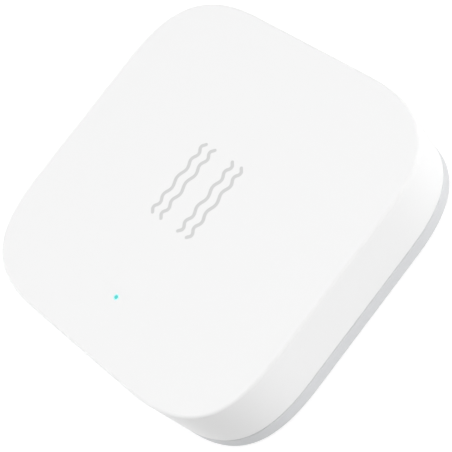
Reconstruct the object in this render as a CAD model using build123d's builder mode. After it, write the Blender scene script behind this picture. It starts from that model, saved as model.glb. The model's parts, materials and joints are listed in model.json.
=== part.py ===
from build123d import *
import os

# Vibration sensor tag: a rounded-square cover snapped over a shallow base, with a round battery door.
# Millimetres. Z runs up out of the face, the origin is under the middle of the tag, on the surface it
# rests on, and the status light is towards -Y. The reset button is in the +Y wall.

# Case outline
case_side = 44.0
corner_reach = 12.7
corner_handle_share = 0.71

# Case heights, from the resting surface up
pad_proud = 0.3
base_band = 2.4
cover_height = 8.6

# Walls and edges of the case
cover_wall = 1.5
roof_thickness = 1.4
base_floor = 1.4
top_edge_round = 0.35
seam_edge_bevel = 0.15
base_edge_bevel = 0.3

# Lip of the base and its snap hooks
lip_gap = 0.1
lip_wall = 0.9
lip_height = 1.6
hook_count_a_side = 2
hook_spacing = 12.0
hook_width = 3.6
hook_reach = 0.45
hook_land = 0.25
hook_rise = 0.8
hook_lift = 0.5
hook_slit = 0.6
hook_clearance = 0.12

# Foam pad under the base
pad_recess_depth = 0.5
pad_inset = 2.6
pad_gap = 0.2
pad_rim = 0.9

# Coin cell, a 2032
cell_diameter = 20.0
cell_height = 3.2
can_wall = 0.25
can_edge_bevel = 0.3
can_rim_width = 0.9
cap_stand = 0.15
cap_wall = 0.25
cap_edge_bevel = 0.25
gasket_width = 0.35
gasket_foot_width = 0.92
cell_seal_gap = 0.03
pellet_height = 1.7
separator_thickness = 0.1

# Battery door and its bayonet
door_thickness = 1.2
door_gap = 0.05
door_radial_gap = 0.15
door_edge_bevel = 0.15
flange_overlap = 0.55
skirt_wall = 0.6
cell_side_gap = 0.2
cell_end_gap = 0.1
ledge_thickness = 0.9
lug_count = 3
lug_reach = 1.1
lug_thickness = 0.8
lug_half_angle = 14.0
lug_gap = 0.1
notch_half_angle = 16.5
door_travel_angle = 40.0
stop_half_angle = 1.5
stop_clear_angle = 1.0
stop_width = 0.8
ring_wall = 0.9
coin_slot_length = 13.0
coin_slot_width = 1.9
coin_slot_depth = 0.7

# Ribs and pillars of the base
base_rib_width = 0.8
base_rib_height = 0.8
pillar_inset_x = 6.0
pillar_inset_y = 14.0
pillar_radius = 1.2
pillar_gap = 0.1

# Circuit board and the posts that hold it
contact_room = 1.1
board_thickness = 0.8
board_inset = 2.4
post_inset = 8.5
post_radius = 1.5
stake_radius = 0.75
stake_gap = 0.1
stake_head_radius = 1.3
stake_head_height = 0.5
roof_rib_width = 0.8
roof_rib_depth = 0.7

# Status light and its pipe
light_inset = 7.14
pipe_tip_radius = 0.3
pipe_collar_radius = 1.2
pipe_collar_height = 0.7
pipe_stem_radius = 0.8
pipe_gap = 0.05
pipe_light_gap = 0.3
boss_wall = 0.8
boss_depth = 1.2
led_length = 1.6
led_width = 0.8
led_base_height = 0.3
led_lens_length = 1.1
led_lens_height = 0.3

# Reset button
button_width = 5.0
button_height = 1.8
button_gap = 0.15
button_recess = 0.15
button_edge_round = 0.2
button_travel = 0.3
button_flange_width = 6.6
button_flange_height = 2.8
button_flange_thickness = 0.8
button_flange_gap = 0.15
button_stem_radius = 0.6
button_stem_length = 1.0
rail_width = 0.7
rail_gap = 0.2
notch_gap = 0.3

# Side-push switch behind the button
switch_level = 0.85
switch_width = 4.6
switch_height = 1.7
switch_depth = 1.9
switch_pocket_radius = 0.72
dome_thickness = 0.08
dome_rise = 0.1
dome_gap = 0.05
plunger_gap = 0.05
plunger_reach = 1.3
plunger_width = 1.1
plunger_height = 0.6
shoulder_radius = 0.6
shoulder_thickness = 0.25
plunger_clearance = 0.1
frame_thickness = 0.2
frame_foot = 0.5

# Battery holder and contacts
holder_wall = 1.4
holder_lift = 0.3
holder_rim_overlap = 1.0
contact_width = 3.0
contact_slot_gap = 0.2
contact_thickness = 0.2
contact_touch_gap = 0.05
contact_foot_length = 3.8
contact_blade_length = 1.9
contact_kick = 0.3
leaf_width = 2.5
leaf_foot = 3.5
leaf_run = 3.7
leaf_tail = 1.0
leaf_lead = 4.0
leaf_kick = 0.3

# Integrated circuits on the board
radio_side = 6.0
radio_height = 0.85
memory_length = 4.9
memory_width = 3.9
memory_height = 1.45
memory_stand = 0.15
memory_draft_angle = 6.0
lead_count_a_side = 4
lead_pitch = 1.27
lead_width = 0.4
lead_thickness = 0.2
lead_reach = 1.0
lead_foot = 0.55
sensor_side = 2.5
sensor_height = 0.95
chip_edge_bevel = 0.1
dot_radius = 0.25
dot_depth = 0.08
dot_inset = 0.7

# Crystals, antenna and passive parts
main_crystal_length = 3.2
main_crystal_width = 2.5
clock_crystal_length = 3.2
clock_crystal_width = 1.5
crystal_height = 0.75
crystal_base_height = 0.25
crystal_lid_inset = 0.15
crystal_corner_round = 0.3
antenna_length = 6.5
antenna_width = 2.0
antenna_height = 1.1
tantalum_length = 3.5
tantalum_width = 2.8
tantalum_height = 1.9
tantalum_draft_angle = 5.0
tantalum_bevel = 0.4
inductor_side = 2.5
inductor_height = 1.2
inductor_flange = 0.3
inductor_core_radius = 0.95
passive_length = 1.6
passive_width = 0.8
capacitor_height = 0.8
resistor_height = 0.45
end_cap_length = 0.35
end_cap_step = 0.03

# Places on the board, as shares of its half side
radio_place_shares = (-0.28, 0.24)
memory_place_shares = (0.33, 0.28)
sensor_place_shares = (0.02, -0.06)
main_crystal_place_shares = (-0.28, -0.10)
clock_crystal_place_shares = (-0.54, 0.34)
antenna_place_shares = (-0.87, 0.0)
tantalum_place_shares = (0.56, -0.36)
inductor_place_shares = (0.52, -0.10)
capacitor_place_shares = [
    (-0.56, 0.14), (-0.56, 0.04), (-0.56, -0.06), (0.02, 0.34), (0.02, 0.24), (0.02, 0.14),
    (0.26, -0.14), (0.26, -0.24), (0.22, 0.02), (-0.10, -0.36), (-0.28, -0.36), (0.30, 0.60),
]
resistor_place_shares = [
    (-0.30, 0.60), (-0.46, 0.60), (0.46, 0.60), (0.18, -0.74), (0.34, -0.74), (-0.18, -0.74),
    (0.64, 0.30), (0.64, 0.20),
]

# Levels and lines that follow from the sizes above
case_half = case_side / 2
base_bottom = pad_proud
seam_level = base_bottom + base_band
top_level = seam_level + cover_height
roof_level = top_level - roof_thickness
floor_level = base_bottom + base_floor
lip_inset = cover_wall + lip_gap
lip_top = seam_level + lip_height
flange_top = base_bottom + door_thickness
ledge_bottom = flange_top + door_gap
ledge_top = ledge_bottom + ledge_thickness
lug_bottom = ledge_top + lug_gap
lug_top = lug_bottom + lug_thickness
ring_top = lug_top + lug_gap
cell_radius = cell_diameter / 2
cell_bottom = flange_top + cell_end_gap
cell_top = cell_bottom + cell_height
board_bottom = cell_top + contact_room
board_top = board_bottom + board_thickness
board_half = case_half - board_inset
post_offset = case_half - post_inset
pillar_offset_x = case_half - pillar_inset_x
pillar_offset_y = case_half - pillar_inset_y
light_offset = case_half - light_inset
skirt_inner_radius = cell_radius + cell_side_gap
skirt_radius = skirt_inner_radius + skirt_wall
ledge_radius = skirt_radius + door_radial_gap
lug_radius = skirt_radius + lug_reach
pocket_radius = lug_radius + door_radial_gap
flange_radius = pocket_radius + flange_overlap
recess_radius = flange_radius + door_radial_gap
gasket_inner_radius = cell_radius - can_rim_width - cell_seal_gap - gasket_width
pellet_radius = gasket_inner_radius - gasket_foot_width
cap_radius = gasket_inner_radius - cell_seal_gap
cap_bottom = cell_bottom + can_wall + gasket_width + cell_seal_gap
pellet_top = cell_bottom + can_wall + pellet_height
separator_top = pellet_top + separator_thickness
ring_radius = recess_radius + ring_wall
pad_hole_radius = recess_radius + pad_rim
button_level = board_top + switch_level
button_face = case_half - button_recess
wall_face = case_half - cover_wall
button_flange_front = wall_face - button_flange_gap
button_flange_back = button_flange_front - button_flange_thickness
button_stem_end = button_flange_back - button_stem_length
rail_end = button_flange_back - button_travel
plunger_tip = button_stem_end - plunger_gap
frame_front = plunger_tip - plunger_reach
switch_front = frame_front - frame_thickness
shoulder_front = switch_front - plunger_clearance
switch_pocket_depth = (
    plunger_clearance + shoulder_thickness + button_travel + dome_gap + dome_rise + dome_thickness
)
pipe_bottom = board_top + led_base_height + led_lens_height + pipe_light_gap
holder_bottom = lug_top + holder_lift
holder_radius = skirt_radius + holder_wall / 2
holder_rim_radius = cell_radius - holder_rim_overlap


def rounded_square(inset):
    """The case's outline, drawn in on every side: straight sides joined by one soft curve a corner."""
    half = case_half - inset
    reach = corner_reach - inset
    straight = half - reach
    handle = straight + reach * corner_handle_share
    with BuildSketch() as outline:
        with BuildLine():
            Line((half, 0), (half, straight))
            Bezier((half, straight), (half, handle), (handle, half), (straight, half))
            Line((straight, half), (0, half))
            mirror(about=Plane.XZ)
            mirror(about=Plane.YZ)
        make_face()
    return outline.sketch


def ring_sector(inner_radius, outer_radius, middle_angle, half_angle):
    """A piece of a flat ring, centred on an angle in degrees."""
    with BuildSketch() as sector:
        with BuildLine():
            outer = CenterArc((0, 0), outer_radius, middle_angle - half_angle, 2 * half_angle)
            inner = CenterArc((0, 0), inner_radius, middle_angle - half_angle, 2 * half_angle)
            Line(outer @ 0, inner @ 0)
            Line(outer @ 1, inner @ 1)
        make_face()
    return sector.sketch


def board_place(shares, level, turn=0):
    """A place over the board, from its shares of the board's half side."""
    return Location((shares[0] * board_half, shares[1] * board_half, level), (0, 0, turn))


def two_terminal_chip(height):
    """A chip resistor or capacitor, standing on z = 0, with a raised metal cap on each end."""
    on_floor = (Align.CENTER, Align.CENTER, Align.MIN)
    with BuildPart() as chip:
        Box(passive_length, passive_width, height, align=on_floor)
        with GridLocations(passive_length - end_cap_length, 0, 2, 1):
            Box(end_cap_length, passive_width + 2 * end_cap_step, height + end_cap_step, align=on_floor)
    return chip.part


# Snap hook of the base: a wedge that slides past the cover's wall and catches in its window
with BuildPart() as snap_hook:
    with BuildSketch(Plane.XZ):
        with BuildLine():
            Polyline(
                (-lip_wall / 2, 0), (hook_reach, 0), (hook_reach, hook_land),
                (0, hook_rise), (-lip_wall / 2, hook_rise), close=True,
            )
        make_face()
    extrude(amount=hook_width / 2, both=True)

# White cover: a shell with board posts, a light-pipe boss, the button's opening and snap windows
with BuildPart() as top_cover:
    with BuildSketch(Plane.XY.offset(seam_level)):
        add(rounded_square(0))
    extrude(amount=cover_height)
    fillet(top_cover.edges().group_by(Axis.Z)[-1], radius=top_edge_round)
    chamfer(top_cover.edges().group_by(Axis.Z)[0], length=seam_edge_bevel)
    with BuildSketch(Plane.XY.offset(seam_level)):
        add(rounded_square(cover_wall))
    extrude(amount=cover_height - roof_thickness, mode=Mode.SUBTRACT)
    # Ribs between the posts
    with BuildSketch(Plane.XY.offset(roof_level)):
        with GridLocations(0, 2 * post_offset, 1, 2):
            Rectangle(2 * post_offset, roof_rib_width)
        with GridLocations(2 * post_offset, 0, 2, 1):
            Rectangle(roof_rib_width, 2 * post_offset)
    extrude(amount=-roof_rib_depth)
    # Posts, with pins through the board and melted heads under it
    with BuildSketch(Plane.XY.offset(roof_level)):
        with GridLocations(2 * post_offset, 2 * post_offset, 2, 2):
            Circle(post_radius)
    extrude(amount=board_top - roof_level)
    with BuildSketch(Plane.XY.offset(board_top)):
        with GridLocations(2 * post_offset, 2 * post_offset, 2, 2):
            Circle(stake_radius)
    extrude(amount=-board_thickness)
    with BuildSketch(Plane.XY.offset(board_bottom)):
        with GridLocations(2 * post_offset, 2 * post_offset, 2, 2):
            Circle(stake_head_radius)
    extrude(amount=-stake_head_height, taper=30)
    # Boss and hole for the light pipe
    with BuildSketch(Plane.XY.offset(roof_level)):
        with Locations((0, -light_offset)):
            Circle(pipe_collar_radius + pipe_gap + boss_wall)
    extrude(amount=-boss_depth)
    with BuildSketch(Plane.XY.offset(roof_level)):
        with Locations((0, -light_offset)):
            Circle(pipe_collar_radius + pipe_gap)
    extrude(amount=-boss_depth, mode=Mode.SUBTRACT)
    with BuildSketch(Plane.XY.offset(top_level)):
        with Locations((0, -light_offset)):
            Circle(pipe_tip_radius + pipe_gap)
    extrude(amount=-roof_thickness, mode=Mode.SUBTRACT)
    # Rails that guide the button's flange
    with BuildSketch(Plane.XY.offset(roof_level)):
        with Locations((0, (wall_face + rail_end) / 2)):
            with GridLocations(button_flange_width + 2 * rail_gap + rail_width, 0, 2, 1):
                Rectangle(rail_width, wall_face - rail_end)
    extrude(amount=button_level - button_flange_height / 2 - roof_level)
    # Pill-shaped opening for the button
    with BuildSketch(Plane.XZ.offset(-case_half)):
        with Locations((0, button_level)):
            SlotOverall(button_width + 2 * button_gap, button_height + 2 * button_gap)
    extrude(amount=cover_wall, mode=Mode.SUBTRACT)
    # Windows that the base's hooks catch in
    with Locations((0, 0, seam_level + hook_lift + hook_rise / 2)):
        with PolarLocations(wall_face, 4):
            with GridLocations(0, hook_spacing, 1, hook_count_a_side):
                Box(
                    2 * (hook_reach - lip_gap + hook_clearance),
                    hook_width + 2 * hook_clearance,
                    hook_rise + 2 * hook_clearance,
                    mode=Mode.SUBTRACT,
                )

# Grey base: a tray with a lip, snap hooks, a bayonet ring for the door and pillars under the board
with BuildPart() as base_shell:
    with BuildSketch(Plane.XY.offset(base_bottom)):
        add(rounded_square(0))
    extrude(amount=base_band)
    chamfer(base_shell.edges().group_by(Axis.Z)[-1], length=seam_edge_bevel)
    chamfer(base_shell.edges().group_by(Axis.Z)[0], length=base_edge_bevel)
    with BuildSketch(Plane.XY.offset(seam_level)):
        add(rounded_square(lip_inset))
    extrude(amount=lip_height)
    with BuildSketch(Plane.XY.offset(floor_level)):
        add(rounded_square(lip_inset + lip_wall))
    extrude(amount=lip_top - floor_level, mode=Mode.SUBTRACT)
    # Ribs from the ring to the corners
    with BuildSketch(Plane.XY.offset(floor_level)):
        with PolarLocations((ring_radius + case_half) / 2, 4, start_angle=45):
            Rectangle(case_half - ring_radius + 2 * base_rib_width, base_rib_width)
    extrude(amount=base_rib_height)
    # Pillars under the board
    with BuildSketch(Plane.XY.offset(floor_level)):
        with GridLocations(2 * pillar_offset_x, 2 * pillar_offset_y, 2, 2):
            Circle(pillar_radius)
    extrude(amount=board_bottom - pillar_gap - floor_level)
    # Ring round the battery opening
    with BuildSketch(Plane.XY.offset(floor_level)):
        Circle(ring_radius)
    extrude(amount=ring_top - floor_level)
    with BuildSketch(Plane.XY.offset(base_bottom)):
        Circle(recess_radius)
    extrude(amount=ledge_bottom - base_bottom, mode=Mode.SUBTRACT)
    with BuildSketch(Plane.XY.offset(ledge_bottom)):
        Circle(ledge_radius)
        for lug in range(lug_count):
            notch_angle = lug * 360 / lug_count - door_travel_angle
            add(ring_sector(skirt_inner_radius, pocket_radius, notch_angle, notch_half_angle))
    extrude(amount=ledge_thickness, mode=Mode.SUBTRACT)
    with BuildSketch(Plane.XY.offset(ledge_top)):
        Circle(pocket_radius)
    extrude(amount=ring_top - ledge_top, mode=Mode.SUBTRACT)
    # Stops at both ends of the lugs' travel
    with BuildSketch(Plane.XY.offset(ledge_top)):
        for lug in range(lug_count):
            locked_stop = lug * 360 / lug_count + lug_half_angle + stop_clear_angle + stop_half_angle
            open_stop = lug * 360 / lug_count - door_travel_angle - notch_half_angle - stop_half_angle
            for stop_angle in (locked_stop, open_stop):
                add(ring_sector(
                    pocket_radius - stop_width, pocket_radius + ring_wall / 2, stop_angle, stop_half_angle
                ))
    extrude(amount=ring_top - ledge_top)
    # Recess for the foam pad
    with BuildSketch(Plane.XY.offset(base_bottom)):
        add(rounded_square(pad_inset - pad_gap))
        Circle(pad_hole_radius - pad_gap, mode=Mode.SUBTRACT)
    extrude(amount=pad_recess_depth, mode=Mode.SUBTRACT)
    # Slits that free the hooks, and the hooks themselves
    with Locations((0, 0, (seam_level + lip_top) / 2)):
        with PolarLocations(case_half - lip_inset - lip_wall / 2, 4):
            with GridLocations(0, hook_spacing, 1, hook_count_a_side):
                with GridLocations(0, hook_width + hook_slit, 1, 2):
                    Box(2 * lip_wall, hook_slit, lip_height, mode=Mode.SUBTRACT)
    with Locations((0, 0, seam_level + hook_lift)):
        with PolarLocations(case_half - lip_inset, 4):
            with GridLocations(0, hook_spacing, 1, hook_count_a_side):
                add(snap_hook.part)

# Foam pad: follows the case's outline, with a round hole that leaves the battery door free
with BuildPart() as adhesive_pad:
    with BuildSketch():
        add(rounded_square(pad_inset))
        Circle(pad_hole_radius, mode=Mode.SUBTRACT)
    extrude(amount=pad_proud + pad_recess_depth)

# Battery door: flange, skirt round the cell, bayonet lugs and a coin slot
with BuildPart() as battery_door:
    with BuildSketch(Plane.XY.offset(base_bottom)):
        Circle(flange_radius)
    extrude(amount=door_thickness)
    chamfer(battery_door.edges().group_by(Axis.Z)[0], length=door_edge_bevel)
    with BuildSketch(Plane.XY.offset(flange_top)):
        Circle(skirt_radius)
        Circle(skirt_inner_radius, mode=Mode.SUBTRACT)
    extrude(amount=lug_top - flange_top)
    with BuildSketch(Plane.XY.offset(lug_bottom)):
        for lug in range(lug_count):
            add(ring_sector(
                skirt_radius - skirt_wall / 2, lug_radius, lug * 360 / lug_count, lug_half_angle
            ))
    extrude(amount=lug_thickness)
    with BuildSketch(Plane.XY.offset(base_bottom)):
        SlotOverall(coin_slot_length, coin_slot_width)
    extrude(amount=coin_slot_depth, mode=Mode.SUBTRACT)

# Coin cell can: a cup with its rim turned in over the seal
with BuildPart() as cell_can:
    with BuildSketch(Plane.XY.offset(cell_bottom)):
        Circle(cell_radius)
    extrude(amount=cell_height - cap_stand)
    chamfer(cell_can.edges().group_by(Axis.Z)[0], length=can_edge_bevel)
    with BuildSketch(Plane.XY.offset(cell_bottom + can_wall)):
        Circle(cell_radius - can_wall)
    extrude(amount=cell_height - cap_stand - 2 * can_wall, mode=Mode.SUBTRACT)
    with BuildSketch(Plane.XY.offset(cell_top - cap_stand)):
        Circle(cell_radius - can_rim_width)
    extrude(amount=-2 * can_wall, mode=Mode.SUBTRACT)

# Coin cell seal: a moulded ring between the can and the cap, with a foot under the cap's edge
with BuildPart() as cell_gasket:
    with BuildSketch(Plane.XY.offset(cell_bottom + can_wall)):
        Circle(cell_radius - can_wall - cell_seal_gap)
    extrude(amount=cell_height - cap_stand - 2 * can_wall)
    with BuildSketch(Plane.XY.offset(cell_bottom + can_wall)):
        Circle(cell_radius - can_rim_width - cell_seal_gap)
    extrude(amount=cell_height - cap_stand - can_wall)
    with BuildSketch(Plane.XY.offset(cell_bottom + can_wall)):
        Circle(pellet_radius + cell_seal_gap)
    extrude(amount=cell_height, mode=Mode.SUBTRACT)
    with BuildSketch(Plane.XY.offset(cell_bottom + can_wall + gasket_width)):
        Circle(gasket_inner_radius)
    extrude(amount=cell_height, mode=Mode.SUBTRACT)

# Coin cell cap: the negative side, a shallow cup that faces the board
with BuildPart() as cell_cap:
    with BuildSketch(Plane.XY.offset(cap_bottom)):
        Circle(cap_radius)
    extrude(amount=cell_top - cap_bottom)
    chamfer(cell_cap.edges().group_by(Axis.Z)[-1], length=cap_edge_bevel)
    with BuildSketch(Plane.XY.offset(cap_bottom)):
        Circle(cap_radius - cap_wall)
    extrude(amount=cell_top - cap_bottom - cap_wall, mode=Mode.SUBTRACT)

# Coin cell filling: the pressed powder pellet in the can, the separator and the lithium disc
with BuildPart() as cathode_pellet:
    with BuildSketch(Plane.XY.offset(cell_bottom + can_wall)):
        Circle(pellet_radius)
    extrude(amount=pellet_height)

with BuildPart() as cell_separator:
    with BuildSketch(Plane.XY.offset(pellet_top)):
        Circle(cap_radius - cap_wall - cell_seal_gap)
    extrude(amount=separator_thickness)

with BuildPart() as lithium_disc:
    with BuildSketch(Plane.XY.offset(separator_top)):
        Circle(cap_radius - cap_wall - cap_edge_bevel)
    extrude(amount=cell_top - cap_wall - separator_top)

# Circuit board: holes for the four pins and a notch for the button's flange
with BuildPart() as circuit_board:
    with BuildSketch(Plane.XY.offset(board_bottom)):
        add(rounded_square(board_inset))
        with GridLocations(2 * post_offset, 2 * post_offset, 2, 2):
            Circle(stake_radius + stake_gap, mode=Mode.SUBTRACT)
        with Locations((0, rail_end - notch_gap)):
            Rectangle(
                button_flange_width + 4 * rail_gap + 2 * rail_width, board_half,
                align=(Align.CENTER, Align.MIN), mode=Mode.SUBTRACT,
            )
    extrude(amount=board_thickness)

# Light pipe: a stepped pin whose tip is flush with the face
with BuildPart() as light_pipe:
    with BuildSketch(Plane.XY.offset(pipe_bottom)):
        with Locations((0, -light_offset)):
            Circle(pipe_stem_radius)
    extrude(amount=roof_level - pipe_bottom)
    with BuildSketch(Plane.XY.offset(roof_level)):
        with Locations((0, -light_offset)):
            Circle(pipe_collar_radius)
    extrude(amount=-pipe_collar_height)
    with BuildSketch(Plane.XY.offset(roof_level)):
        with Locations((0, -light_offset)):
            Circle(pipe_tip_radius)
    extrude(amount=roof_thickness)

# Status light: a chip base with a narrower lens
with BuildPart() as status_led:
    with BuildSketch(Plane.XY.offset(board_top)):
        with Locations((0, -light_offset)):
            Rectangle(led_length, led_width)
    extrude(amount=led_base_height)
    with BuildSketch(Plane.XY.offset(board_top + led_base_height)):
        with Locations((0, -light_offset)):
            Rectangle(led_lens_length, led_width)
    extrude(amount=led_lens_height)
    fillet(status_led.edges().group_by(Axis.Z)[-1].filter_by(Axis.Y), radius=led_lens_height / 2)

# Reset button: a pill-shaped cap, a flange behind the wall and a stem to the switch
with BuildPart() as reset_button:
    with BuildSketch(Plane.XZ.offset(-button_face)):
        with Locations((0, button_level)):
            SlotOverall(button_width, button_height)
    extrude(amount=button_face - button_flange_front)
    fillet(reset_button.edges().group_by(Axis.Y)[-1], radius=button_edge_round)
    with BuildSketch(Plane.XZ.offset(-button_flange_front)):
        with Locations((0, button_level)):
            SlotOverall(button_flange_width, button_flange_height)
    extrude(amount=button_flange_thickness)
    with BuildSketch(Plane.XZ.offset(-button_flange_back)):
        with Locations((0, button_level)):
            Circle(button_stem_radius)
    extrude(amount=button_stem_length)

# Switch base: a moulded block with a round pocket for the dome and the plunger's shoulder
with BuildPart() as switch_base:
    with BuildSketch(Plane.XZ.offset(-switch_front)):
        with Locations((0, board_top + switch_height / 2)):
            Rectangle(switch_width, switch_height)
    extrude(amount=switch_depth)
    with BuildSketch(Plane.XZ.offset(-switch_front)):
        with Locations((0, button_level)):
            Circle(switch_pocket_radius)
    extrude(amount=switch_pocket_depth, mode=Mode.SUBTRACT)

# Switch dome: a shallow sprung disc, drawn as pressed, that lies on the pocket's floor
with BuildPart() as switch_dome:
    dome_edge = switch_pocket_radius - dome_gap
    dome_floor = Plane(
        origin=(0, switch_front - switch_pocket_depth + dome_thickness / 2, button_level),
    )
    with BuildSketch(dome_floor):
        with BuildLine():
            ThreePointArc((-dome_edge, 0), (0, dome_rise), (dome_edge, 0))
        trace(line_width=dome_thickness)
        split(bisect_by=Plane.YZ, keep=Keep.TOP)
    revolve(axis=Axis(dome_floor.origin, dome_floor.y_dir))

# Switch frame: a stamped cover whose sides come down to feet on the board
with BuildPart() as switch_frame:
    with BuildSketch(Plane.XY.offset(board_top)):
        with Locations((0, frame_front - (switch_depth + frame_thickness) / 2)):
            Rectangle(switch_width + 2 * frame_thickness, switch_depth + frame_thickness)
        with Locations((0, switch_front)):
            Rectangle(switch_width, 2 * switch_depth, align=(Align.CENTER, Align.MAX), mode=Mode.SUBTRACT)
    extrude(amount=switch_height)
    with BuildSketch(Plane.XY.offset(board_top)):
        with Locations((0, frame_front - (switch_depth + frame_thickness) / 2)):
            with GridLocations(switch_width + 2 * frame_thickness + frame_foot, 0, 2, 1):
                Rectangle(frame_foot, switch_depth / 2)
    extrude(amount=frame_thickness)
    with BuildSketch(Plane.XZ.offset(-frame_front)):
        with Locations((0, button_level)):
            Rectangle(plunger_width + 2 * plunger_clearance, plunger_height + 2 * plunger_clearance)
    extrude(amount=frame_thickness, mode=Mode.SUBTRACT)

# Switch plunger: a round shoulder in the pocket and a nub through the frame
with BuildPart() as switch_plunger:
    with BuildSketch(Plane.XZ.offset(-shoulder_front)):
        with Locations((0, button_level)):
            Circle(shoulder_radius)
    extrude(amount=shoulder_thickness)
    with BuildSketch(Plane.XZ.offset(-plunger_tip)):
        with Locations((0, button_level)):
            RectangleRounded(plunger_width, plunger_height, plunger_clearance)
    extrude(amount=plunger_tip - shoulder_front)

# Battery holder: a ring under the board with a rim over the cell and slots for the side contacts
with BuildPart() as battery_holder:
    with BuildSketch(Plane.XY.offset(holder_bottom)):
        Circle(holder_radius)
        Circle(holder_rim_radius, mode=Mode.SUBTRACT)
    extrude(amount=board_bottom - holder_bottom)
    with BuildSketch(Plane.XY.offset(holder_bottom)):
        Circle(cell_radius + cell_side_gap)
    extrude(amount=cell_top + cell_end_gap - holder_bottom, mode=Mode.SUBTRACT)
    with BuildSketch(Plane.XY.offset(holder_bottom)):
        Rectangle(
            2 * (cell_radius + contact_touch_gap + contact_thickness + contact_slot_gap + contact_kick),
            contact_width + 2 * contact_slot_gap,
        )
    extrude(amount=board_bottom - holder_bottom, mode=Mode.SUBTRACT)
    with BuildSketch(Plane.XY.offset(board_bottom)):
        Rectangle(2 * case_half, contact_width + 2 * contact_slot_gap)
    extrude(amount=-(contact_thickness + contact_slot_gap), mode=Mode.SUBTRACT)

# Positive contacts: bent strips, soldered under the board, whose blades press on the can's side
with BuildPart() as positive_contacts:
    with BuildSketch(Plane.XZ):
        with BuildLine():
            blade_line = cell_radius + contact_touch_gap + contact_thickness / 2
            foot_line = board_bottom - contact_thickness / 2
            Polyline(
                (blade_line + contact_foot_length, foot_line),
                (blade_line, foot_line),
                (blade_line, foot_line - contact_blade_length),
                (blade_line + contact_kick, foot_line - contact_blade_length - contact_kick),
            )
        trace(line_width=contact_thickness)
    extrude(amount=contact_width / 2, both=True)
    mirror(about=Plane.YZ)

# Negative contact: a leaf spring, soldered under the board, whose nose lies over the cell's cap
with BuildPart() as negative_contact:
    with BuildSketch(Plane.XZ):
        with BuildLine():
            nose_line = cell_top + contact_touch_gap + contact_thickness / 2
            leaf_start = leaf_foot - leaf_lead
            Polyline(
                (-leaf_lead, foot_line),
                (leaf_start, foot_line),
                (leaf_start + leaf_run, nose_line),
                (leaf_start + leaf_run + leaf_tail, nose_line + leaf_kick),
            )
        trace(line_width=contact_thickness)
    extrude(amount=leaf_width / 2, both=True)

# Radio chip: a leadless package with a bevelled top and a first-pin dot
with BuildPart() as radio_chip:
    with Locations(board_place(radio_place_shares, board_top + radio_height / 2)):
        Box(radio_side, radio_side, radio_height)
    chamfer(radio_chip.edges().group_by(Axis.Z)[-1], length=chip_edge_bevel)
    with Locations(board_place(radio_place_shares, board_top + radio_height)):
        with Locations((-radio_side / 2 + dot_inset, radio_side / 2 - dot_inset, 0)):
            Cylinder(dot_radius, 2 * dot_depth, mode=Mode.SUBTRACT)

# Memory chip: a moulded body with drafted sides and gull-wing leads
with BuildPart() as gull_lead:
    with BuildSketch(Plane.XZ):
        with BuildLine():
            shoulder_line = memory_height / 2
            Polyline(
                (0, shoulder_line),
                (lead_reach - lead_foot, shoulder_line),
                (lead_reach - lead_foot + lead_thickness, lead_thickness / 2),
                (lead_reach + lead_thickness, lead_thickness / 2),
            )
        trace(line_width=lead_thickness)
    extrude(amount=lead_width / 2, both=True)

with BuildPart() as memory_chip:
    memory_middle = board_place(memory_place_shares, board_top + memory_height / 2)
    with BuildSketch(Plane(memory_middle)):
        Rectangle(memory_width, memory_length)
    extrude(amount=memory_height / 2, taper=memory_draft_angle)
    with BuildSketch(Plane(memory_middle)):
        Rectangle(memory_width, memory_length)
    extrude(amount=memory_stand - memory_height / 2, taper=memory_draft_angle)
    with Locations(board_place(memory_place_shares, board_top)):
        with PolarLocations(memory_width / 2 - lead_thickness, 2):
            with GridLocations(0, lead_pitch, 1, lead_count_a_side):
                add(gull_lead.part)

# Accelerometer: the small package near the middle of the board that feels the vibration
with BuildPart() as accelerometer:
    with Locations(board_place(sensor_place_shares, board_top + sensor_height / 2)):
        Box(sensor_side, sensor_side, sensor_height)
    chamfer(accelerometer.edges().group_by(Axis.Z)[-1], length=chip_edge_bevel)
    with Locations(board_place(sensor_place_shares, board_top + sensor_height)):
        with Locations((-sensor_side / 2 + dot_inset, sensor_side / 2 - dot_inset, 0)):
            Cylinder(dot_radius, 2 * dot_depth, mode=Mode.SUBTRACT)


def crystal(length, width):
    """A crystal in a ceramic tray with a rounded metal lid, standing on z = 0."""
    with BuildPart() as can:
        with BuildSketch():
            Rectangle(length, width)
        extrude(amount=crystal_base_height)
        with BuildSketch(Plane.XY.offset(crystal_base_height)):
            RectangleRounded(
                length - 2 * crystal_lid_inset, width - 2 * crystal_lid_inset, crystal_corner_round
            )
        extrude(amount=crystal_height - crystal_base_height)
    return can.part


# Crystals: one clocks the radio, the other keeps time while it sleeps
with BuildPart() as main_crystal:
    with Locations(board_place(main_crystal_place_shares, board_top)):
        add(crystal(main_crystal_length, main_crystal_width))

with BuildPart() as clock_crystal:
    with Locations(board_place(clock_crystal_place_shares, board_top, 90)):
        add(crystal(clock_crystal_length, clock_crystal_width))

# Chip antenna: a ceramic bar at the board's -X edge, away from the cell's contacts
with BuildPart() as chip_antenna:
    with Locations(board_place(antenna_place_shares, board_top + antenna_height / 2)):
        Box(antenna_width, antenna_length, antenna_height)
    fillet(chip_antenna.edges().filter_by(Axis.Z), radius=chip_edge_bevel)

# Bulk capacitor: a moulded tantalum block, drafted from its middle, bevelled at its positive end
with BuildPart() as bulk_capacitor:
    tantalum_middle = board_place(tantalum_place_shares, board_top + tantalum_height / 2)
    with BuildSketch(Plane(tantalum_middle)):
        Rectangle(tantalum_length, tantalum_width)
    extrude(amount=tantalum_height / 2, both=True, taper=tantalum_draft_angle)
    chamfer(
        bulk_capacitor.edges().group_by(Axis.Z)[-1].sort_by(Axis.X)[-1], length=tantalum_bevel
    )

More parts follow.
